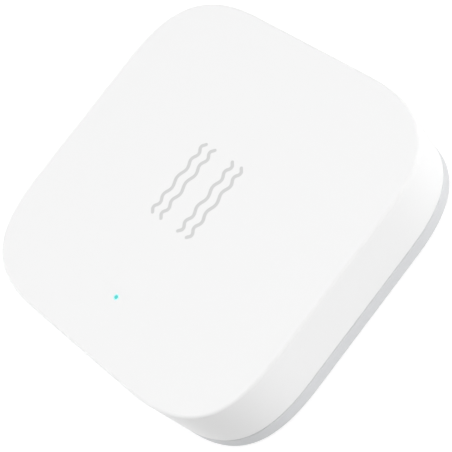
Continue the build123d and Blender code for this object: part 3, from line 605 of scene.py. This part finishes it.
def add_block(shape, low, high, finish=0, bevel=0.0):
    """A block between two corners, with its edges bevelled and its faces in one finish."""
    others = set(shape.faces)
    size = Matrix.Diagonal((*(high - low), 1))
    place = Matrix.Translation((low + high) / 2) @ size
    made = bmesh.ops.create_cube(shape, size=1, matrix=place)["verts"]
    if bevel:
        edges = list({edge for vert in made for edge in vert.link_edges})
        bmesh.ops.bevel(
            shape, geom=edges, offset=bevel, offset_type="OFFSET", segments=2, profile=0.5,
            affect="EDGES", material=-1,
        )
    for face in set(shape.faces) - others:
        face.material_index = finish
    return made


def add_fillet(shape, low, high, outward, finish):
    """Solder that slopes from a chip's end down to the board. Outward is -1 or 1, along X."""
    tolerance, drop = 0.001 * MM, 0.9
    verts = add_block(shape, low, high, finish)
    end = high.x if outward > 0 else low.x
    middle_level = (low.z + high.z) / 2
    lip = [vert for vert in verts if abs(vert.co.x - end) < tolerance and vert.co.z > middle_level]
    bmesh.ops.translate(shape, verts=lip, vec=(0, 0, drop * (low.z - high.z)))


def add_bar(shape, middle, radius, width, height, start, sweep):
    """A flat bar bent round a middle at the level of its foot, from a start angle through a sweep."""
    place = (
        Matrix.Translation(middle) @ Matrix.Rotation(start, 4, "Z")
        @ Matrix.Translation((radius, 0, height / 2)) @ Matrix.Rotation(math.pi / 2, 4, "X")
        @ Matrix.Diagonal((width, height, 1, 1))
    )
    profile = bmesh.ops.create_grid(shape, x_segments=1, y_segments=1, size=0.5, matrix=place)["verts"]
    faces = list({face for vert in profile for face in vert.link_faces})
    edges = list({edge for vert in profile for edge in vert.link_edges})
    bmesh.ops.delete(shape, geom=faces, context="FACES_ONLY")
    bmesh.ops.spin(
        shape, geom=edges, cent=middle, axis=(0, 0, 1), angle=sweep, steps=24,
        use_merge=math.isclose(abs(sweep), 2 * math.pi),
    )


def add_plate(shape, middle, radius, corners, turn, height):
    """A flat plate with this many corners, such as a dot or an arrow's head."""
    place = Matrix.Translation(middle) @ Matrix.Rotation(turn, 4, "Z")
    rim = bmesh.ops.create_circle(
        shape, cap_ends=True, radius=radius, segments=corners, matrix=place
    )["verts"]
    faces = list({face for vert in rim for face in vert.link_faces})
    grown = bmesh.ops.extrude_face_region(shape, geom=faces, use_keep_orig=True)["geom"]
    lifted = [item for item in grown if isinstance(item, bmesh.types.BMVert)]
    bmesh.ops.translate(shape, verts=lifted, vec=(0, 0, height))


def make_piece(name, shape, body, materials, replaced=()):
    """Closes a shape and makes it a piece that rides on a body and wears these materials."""
    merge_distance, sharp_angle = 0.0001 * MM, math.radians(35)
    bmesh.ops.holes_fill(shape, edges=shape.edges, sides=4)
    bmesh.ops.remove_doubles(shape, verts=shape.verts, dist=merge_distance)
    bmesh.ops.recalc_face_normals(shape, faces=shape.faces)
    mesh = bpy.data.meshes.new(name)
    shape.to_mesh(mesh)
    shape.free()
    mesh.shade_smooth()
    mesh.set_sharp_from_angle(angle=sharp_angle)
    for material in materials:
        mesh.materials.append(material)
    piece = bpy.data.objects.new(name, mesh)
    bpy.context.scene.collection.objects.link(piece)
    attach(piece, body)
    if replaced:
        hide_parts(*replaced)


def merged_copy(name):
    """A copy of a CAD node's mesh with its loose triangles joined."""
    merge_distance = 0.001 * MM
    shape = bmesh.new()
    shape.from_mesh(nodes[name].data)
    bmesh.ops.remove_doubles(shape, verts=shape.verts, dist=merge_distance)
    return shape


def solid_boxes(name):
    """The lowest and highest corner of each separate solid of a CAD node."""
    shape = merged_copy(name)
    left = set(shape.verts)
    boxes = []
    while left:
        rim = [left.pop()]
        solid = list(rim)
        while rim:
            vert = rim.pop()
            fresh = {edge.other_vert(vert) for edge in vert.link_edges} & left
            left -= fresh
            rim.extend(fresh)
            solid.extend(fresh)
        corners = [[pick(vert.co[axis] for vert in solid) for axis in range(3)] for pick in (min, max)]
        boxes.append([Vector(corner) for corner in corners])
    shape.free()
    return boxes


def make_chips(node, name, body_material, solder):
    """Two-terminal chips with a bevelled body, tinned ends and solder, one for each solid of a CAD node."""
    cap_length, cap_step = 0.35 * MM, 0.03 * MM
    body_bevel, cap_bevel = 0.02 * MM, 0.06 * MM
    fillet_reach, fillet_overlap, fillet_rise = 0.25 * MM, 0.05 * MM, 0.5
    shape = bmesh.new()
    for low, high in solid_boxes(node):
        body_low = low + Vector((cap_length, cap_step, 0))
        body_high = high - Vector((cap_length, cap_step, cap_step))
        add_block(shape, body_low, body_high, finish=0, bevel=body_bevel)
        fillet_top = low.z + fillet_rise * (high.z - low.z)
        for outward, start in ((-1, low.x), (1, high.x - cap_length)):
            cap_high = Vector((start + cap_length, high.y, high.z))
            add_block(shape, Vector((start, low.y, low.z)), cap_high, finish=1, bevel=cap_bevel)
            edge = low.x - fillet_reach if outward < 0 else high.x - fillet_overlap
            fillet_low = Vector((edge, low.y + cap_step, low.z))
            fillet_high = Vector((edge + fillet_reach + fillet_overlap, high.y - cap_step, fillet_top))
            add_fillet(shape, fillet_low, fillet_high, outward, finish=1)
    make_piece(name, shape, "case", (body_material, solder), replaced=(node,))


def add_lands(shape, low, high, count, pitch):
    """Tinned lands on the board round a leadless chip, in a row along each side."""
    middle = (low + high) / 2
    width, reach, height = 0.5 * pitch, 0.3 * MM, 0.03 * MM
    for place in range(count):
        along = (place - (count - 1) / 2) * pitch
        for side in (-1, 1):
            beside_x = middle.x + side * ((high.x - low.x) / 2 + reach / 2)
            beside_y = middle.y + side * ((high.y - low.y) / 2 + reach / 2)
            for centre, half in (
                (Vector((beside_x, middle.y + along, low.z)), Vector((reach / 2, width / 2, 0))),
                (Vector((middle.x + along, beside_y, low.z)), Vector((width / 2, reach / 2, 0))),
            ):
                add_block(shape, centre - half, centre + half + Vector((0, 0, height)))


def add_softbox(name, aim, offset, width, power):
    """A square area light that faces a point from an offset, in metres."""
    data = bpy.data.lights.new(name, "AREA")
    data.size = width
    data.energy = power
    place = aim + Vector(offset)
    light = bpy.data.objects.new(name, data)
    light.location = place
    light.rotation_mode = "QUATERNION"
    light.rotation_quaternion = (aim - place).to_track_quat("-Z", "Y")
    bpy.context.scene.collection.objects.link(light)


class TAG_OT_cover(bpy.types.Operator):
    """Finish the white cover, with its printed sign and the light that spreads round the dot"""

    bl_idname = "tag.cover"
    bl_label = "Cover"

    def execute(self, context):
        scene = context.scene
        dress(printed_cover(scene.tag_case, scene.tag_print, scene.tag_light), "top_cover")
        return {"FINISHED"}


class TAG_OT_base(bpy.types.Operator):
    """Finish the grey base and its battery door"""

    bl_idname = "tag.base"
    bl_label = "Base and door"

    def execute(self, context):
        case = context.scene.tag_case
        grey = moulded_abs("matt_grey_moulded_abs", case, case.base, roughness=0.72)
        dress(grey, "base_shell", "battery_door")
        return {"FINISHED"}


class TAG_OT_pad(bpy.types.Operator):
    """Cut the foam pad, with its edges rounded as a knife leaves them"""

    bl_idname = "tag.pad"
    bl_label = "Foam pad"

    def execute(self, context):
        case = context.scene.tag_case
        flat_angle, rim_angle = math.radians(1), math.radians(60)
        shape = merged_copy("adhesive_pad")
        bmesh.ops.dissolve_limit(shape, angle_limit=flat_angle, verts=shape.verts, edges=shape.edges)
        rims = [edge for edge in shape.edges if edge.is_manifold and edge.calc_face_angle() > rim_angle]
        bmesh.ops.bevel(
            shape, geom=rims, offset=case.foam_edge, offset_type="OFFSET", segments=3, profile=0.5,
            affect="EDGES", material=-1,
        )
        foam = acrylic_foam(case)
        make_piece("foam_pad", shape, "case", (foam,), replaced=("adhesive_pad",))
        return {"FINISHED"}


class TAG_OT_marks(bpy.types.Operator):
    """Mould raised arrows and a pointer on the battery door, and a closed and an open mark beside it"""

    bl_idname = "tag.marks"
    bl_label = "Door marks"

    def execute(self, context):
        marks = context.scene.tag_marks
        grey = nodes["battery_door"].material_slots[0].material
        turn = next(joint for joint in frame["joints"] if joint["name"] == "door_turn")
        open_angle = math.radians(turn["range_deg"][1])
        closed_way, arrow_start, arrow_sweep = math.pi / 2, math.radians(35), math.radians(-60)

        # The marks' feet are in the door, and a bar's faces lie a little above its head's
        rooted, bar_step = 1.2, 0.02 * MM
        height = rooted * marks.height
        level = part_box("battery_door")[0].z - marks.height
        shape = bmesh.new()
        for half_turn in (0, math.pi):
            start = closed_way + arrow_start + half_turn
            middle = Vector((0, 0, level + bar_step))
            add_bar(shape, middle, marks.arrow_place, marks.arrow_width, height, start, arrow_sweep)
            tip = start + arrow_sweep
            head = Matrix.Rotation(tip, 3, "Z") @ Vector((marks.arrow_place, 0, 0))
            head.z = level
            add_plate(shape, head, marks.head_radius, corners=3, turn=tip - math.pi / 2, height=height)
        pointer = Vector((0, marks.pointer_place, level))
        add_plate(shape, pointer, marks.pointer_radius, corners=3, turn=closed_way, height=height)
        make_piece("door_marks", shape, "door", (grey,))

        shape = bmesh.new()
        closed_mark = Vector((0, marks.lock_place, level))
        add_plate(shape, closed_mark, marks.dot_radius, corners=24, turn=0, height=height)
        open_mark = Matrix.Rotation(-open_angle, 3, "Z") @ closed_mark
        add_bar(
            shape, open_mark, marks.ring_radius, marks.ring_width, height, start=0, sweep=2 * math.pi
        )
        make_piece("lock_marks", shape, "case", (grey,))
        return {"FINISHED"}


class TAG_OT_button(bpy.types.Operator):
    """Finish the reset button"""

    bl_idname = "tag.button"
    bl_label = "Reset button"

    def execute(self, context):
        case = context.scene.tag_case
        # Its mould is smoother than the base's, so it has a little gloss
        grey = moulded_abs("smooth_grey_moulded_abs", case, case.button, roughness=0.4)
        dress(grey, "reset_button")
        return {"FINISHED"}


class TAG_OT_light(bpy.types.Operator):
    """Finish the light pipe and the diode under it"""

    bl_idname = "tag.light"
    bl_label = "Status light"

    def execute(self, context):
        light = context.scene.tag_light
        dress(lit_polycarbonate(light), "light_pipe")
        dress(lit_diode(light), "status_led")
        return {"FINISHED"}


class TAG_OT_board(bpy.types.Operator):
    """Finish the circuit board and lay the tinned lands round its leadless chips"""

    bl_idname = "tag.board"
    bl_label = "Circuit board"

    def execute(self, context):
        board = context.scene.tag_board
        dress(lacquered_board(board), "circuit_board")
        shape = bmesh.new()
        add_lands(shape, *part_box("radio_chip"), count=10, pitch=0.5 * MM)
        add_lands(shape, *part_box("accelerometer"), count=3, pitch=0.65 * MM)
        make_piece("chip_lands", shape, "case", (set_solder(board),))
        return {"FINISHED"}


class TAG_OT_chips(bpy.types.Operator):
    """Finish the integrated circuits, the crystals and the antenna"""

    bl_idname = "tag.chips"
    bl_label = "Chips"

    def execute(self, context):
        board = context.scene.tag_board
        for name in ("radio_chip", "accelerometer"):
            dress(moulded_epoxy(board, name), name)
        dress(leaded_epoxy(board, "memory_chip", body_width=3.92 * MM), "memory_chip")
        for name in ("main_crystal", "clock_crystal"):
            dress(lidded_ceramic(board, name), name)
        dress(silvered_ceramic(board, "chip_antenna"), "chip_antenna")
        return {"FINISHED"}


class TAG_OT_passives(bpy.types.Operator):
    """Make the chip capacitors and resistors with their solder, and finish the large capacitor"""

    bl_idname = "tag.passives"
    bl_label = "Capacitors and resistors"

    def execute(self, context):
        board = context.scene.tag_board
        solder = set_solder(board)
        # Ceramic pressed in layers and fired: tan, matt and finely speckled
        ceramic = fine_grain(
            "tan_fired_ceramic", board.ceramic, roughness=0.6, grain=0.08 * MM, depth=0.004 * MM,
            contrast=0.15,
        )
        # Glass glaze, printed and fired: black, with a soft gloss
        glaze = fine_grain(
            "black_fired_glass_glaze", board.glaze, roughness=0.3, grain=0.1 * MM, depth=0.002 * MM,
            contrast=0.1,
        )
        make_chips("capacitors", "chip_capacitors", ceramic, solder)
        make_chips("resistors", "chip_resistors", glaze, solder)
        dress(banded_epoxy(board, "bulk_capacitor"), "bulk_capacitor")
        return {"FINISHED"}


class TAG_OT_inductor(bpy.types.Operator):
    """Finish the inductor's ferrite drum and wind its wire"""

    bl_idname = "tag.inductor"
    bl_label = "Inductor"

    def execute(self, context):
        board = context.scene.tag_board
        # Sintered ferrite: charcoal, rough and sugary
        ferrite = fine_grain(
            "sintered_ferrite", board.ferrite, roughness=0.6, grain=0.06 * MM, depth=0.006 * MM,
            contrast=0.3,
        )
        # Copper wire, drawn and enamelled: a warm gloss over faint drawing marks
        copper = fine_grain(
            "drawn_enamelled_copper", board.copper, roughness=0.22, grain=0.05 * MM, depth=0.001 * MM,
            contrast=0.1, metallic=1.0,
        )
        dress(ferrite, "inductor")
        middle = middle_of("inductor")
        core_radius = 0.95 * MM
        # Two turns never touch along a line, so each stays a closed ring of its own
        pitch = 1.04 * board.wire
        shape = bmesh.new()
        for turn in range(board.turns):
            level = middle.z + (turn - (board.turns - 1) / 2) * pitch
            for reach in (board.wire / 2, board.wire / 2 + pitch):
                place = (
                    Matrix.Translation((middle.x + core_radius + reach, middle.y, level))
                    @ Matrix.Rotation(math.pi / 2, 4, "X")
                )
                rim = bmesh.ops.create_circle(
                    shape, radius=board.wire / 2, segments=8, matrix=place
                )["verts"]
                bmesh.ops.spin(
                    shape, geom=list({edge for vert in rim for edge in vert.link_edges}),
                    cent=(middle.x, middle.y, level), axis=(0, 0, 1), angle=2 * math.pi, steps=32,
                    use_merge=True,
                )
        make_piece("inductor_winding", shape, "case", (copper,))
        return {"FINISHED"}


class TAG_OT_cell(bpy.types.Operator):
    """Finish the coin cell, inside and out"""

    bl_idname = "tag.cell"
    bl_label = "Coin cell"

    def execute(self, context):
        cell = context.scene.tag_cell
        dress(turned_steel(cell), "cell_can", "cell_cap")
        for node, finish, colour, roughness, grain, depth, contrast, metallic in (
            # Polypropylene, moulded undyed: milky and faintly cloudy
            ("cell_gasket", "moulded_natural_polypropylene", cell.seal, 0.45, 0.3, 0.003, 0.08, 0.0),
            # Manganese dioxide and graphite, pressed: black, crumbly and without gloss
            ("cathode_pellet", "pressed_manganese_powder", cell.powder, 0.9, 0.06, 0.02, 0.3, 0.0),
            # Polypropylene felt, not woven: off-white and fibrous
            ("cell_separator", "non_woven_felt", cell.felt, 0.93, 0.09, 0.03, 0.25, 0.0),
            # Lithium, rolled to foil and dulled by air: a soft grey in wide faint patches
            ("lithium_disc", "rolled_lithium_foil", cell.foil, 0.5, 0.5, 0.01, 0.2, 1.0),
        ):
            dress(fine_grain(finish, colour, roughness, grain * MM, depth * MM, contrast, metallic), node)
        return {"FINISHED"}


class TAG_OT_holder(bpy.types.Operator):
    """Finish the battery holder and the contacts that touch the cell"""

    bl_idname = "tag.holder"
    bl_label = "Battery holder and contacts"

    def execute(self, context):
        cell = context.scene.tag_cell
        # Nylon with glass fibre, moulded: dark, with a faint bloom where fibres reach the surface
        nylon = fine_grain(
            "moulded_glass_filled_nylon", cell.holder, roughness=0.6, grain=0.2 * MM, depth=0.006 * MM,
            contrast=0.2,
        )
        dress(nylon, "battery_holder")
        # Bronze strip under nickel: a warm silver gleam
        bronze = rolled_strip("rolled_nickel_plated_bronze", cell.spring, roughness=0.28)
        dress(bronze, "positive_contacts", "negative_contact")
        return {"FINISHED"}


class TAG_OT_switch(bpy.types.Operator):
    """Finish the side-push switch behind the button"""

    bl_idname = "tag.switch"
    bl_label = "Switch"

    def execute(self, context):
        cell = context.scene.tag_cell
        # Liquid crystal polymer, moulded: dark and slightly soapy
        polymer = fine_grain(
            "moulded_heat_proof_polymer", cell.switch, roughness=0.5, grain=0.15 * MM, depth=0.005 * MM,
            contrast=0.2,
        )
        # Acetal, moulded: ivory, waxy and even
        acetal = fine_grain(
            "moulded_ivory_acetal", cell.nub, roughness=0.35, grain=0.3 * MM, depth=0.002 * MM,
            contrast=0.05,
        )
        dress(polymer, "switch_base")
        dress(acetal, "switch_plunger")
        # Spring steel is bright, and tinned steel is softer and greyer
        dress(rolled_strip("rolled_stainless_spring_steel", cell.steel, roughness=0.22), "switch_dome")
        dress(rolled_strip("rolled_tinned_steel", cell.steel, roughness=0.34), "switch_frame")
        return {"FINISHED"}


class TAG_OT_stage(bpy.types.Operator):
    """Set up the lit table, the lights and the camera at the photograph's viewing angle"""

    bl_idname = "tag.stage"
    bl_label = "Stage"

    def execute(self, context):
        stage, scene = context.scene.tag_stage, context.scene
        floor_half_width = 1.5
        shape = bmesh.new()
        bmesh.ops.create_grid(shape, x_segments=1, y_segments=1, size=floor_half_width)
        floor_mesh = bpy.data.meshes.new("floor")
        shape.to_mesh(floor_mesh)
        shape.free()
        floor_mesh.materials.append(white_acrylic(stage))
        floor = bpy.data.objects.new("floor", floor_mesh)
        scene.collection.objects.link(floor)

        world = bpy.data.worlds.new("white_studio")
        world.use_nodes = True
        background = world.node_tree.nodes["Background"]
        background.inputs["Color"].default_value = (1, 1, 1, 1)
        background.inputs["Strength"].default_value = stage.room
        scene.world = world
        scene.view_settings.view_transform = "Standard"

        middle = (cad_box[0] + cad_box[1]) / 2
        add_softbox("overhead_light", middle, offset=(0.05, 0.05, 0.6), width=0.5, power=stage.overhead)
        add_softbox("side_light", middle, offset=(0.5, 0.5, 0.35), width=0.8, power=stage.side)
        add_softbox("back_light", middle, offset=(-0.5, -0.5, 0.4), width=1.0, power=stage.back)

        # The camera's place and aim were found from the outline and the edges in the photograph
        place = Vector((90.778, -10.649, 123.966)) * MM
        aim = Vector((6.263, -1.026, 11.3)) * MM
        camera_data = bpy.data.cameras.new("camera")
        camera_data.lens = stage.lens
        camera_data.clip_start = 1 * MM
        camera = bpy.data.objects.new("camera", camera_data)
        scene.collection.objects.link(camera)
        camera.location = place
        camera.rotation_mode = "QUATERNION"
        look = (aim - place).to_track_quat("-Z", "Y")
        camera.rotation_quaternion = look @ Quaternion((0, 0, 1), -stage.roll)
        scene.camera = camera
        return {"FINISHED"}


class TAG_PT_panel(bpy.types.Panel):
    """The tag's settings and steps"""

    bl_idname = "TAG_PT_panel"
    bl_label = "Sensor tag"
    bl_space_type = "VIEW_3D"
    bl_region_type = "UI"
    bl_category = "Sensor tag"

    def draw(self, context):
        for group in SETTINGS:
            settings = getattr(context.scene, group)
            box = self.layout.box()
            for name in settings.__annotations__:
                box.prop(settings, name)
        for operator in OPERATORS:
            self.layout.operator(operator.bl_idname)


SETTINGS = {
    "tag_print": TagPrintSettings,
    "tag_case": TagCaseSettings,
    "tag_marks": TagMarkSettings,
    "tag_light": TagLightSettings,
    "tag_board": TagBoardSettings,
    "tag_cell": TagCellSettings,
    "tag_stage": TagStageSettings,
}
OPERATORS = (
    TAG_OT_cover, TAG_OT_base, TAG_OT_pad, TAG_OT_marks, TAG_OT_button, TAG_OT_light, TAG_OT_board,
    TAG_OT_chips, TAG_OT_passives, TAG_OT_inductor, TAG_OT_cell, TAG_OT_holder, TAG_OT_switch, TAG_OT_stage,
)


def register():
    for name, group in SETTINGS.items():
        bpy.utils.register_class(group)
        setattr(bpy.types.Scene, name, PointerProperty(type=group))
    for operator in OPERATORS:
        bpy.utils.register_class(operator)
    bpy.utils.register_class(TAG_PT_panel)


def unregister():
    bpy.utils.unregister_class(TAG_PT_panel)
    for operator in reversed(OPERATORS):
        bpy.utils.unregister_class(operator)
    for name, group in SETTINGS.items():
        delattr(bpy.types.Scene, name)
        bpy.utils.unregister_class(group)


def main():
    register()
    bpy.ops.tag.cover()
    bpy.ops.tag.base()
    bpy.ops.tag.pad()
    bpy.ops.tag.marks()
    bpy.ops.tag.button()
    bpy.ops.tag.light()
    bpy.ops.tag.board()
    bpy.ops.tag.chips()
    bpy.ops.tag.passives()
    bpy.ops.tag.inductor()
    bpy.ops.tag.cell()
    bpy.ops.tag.holder()
    bpy.ops.tag.switch()
    bpy.ops.tag.stage()


if __name__ == "__main__":
    main()
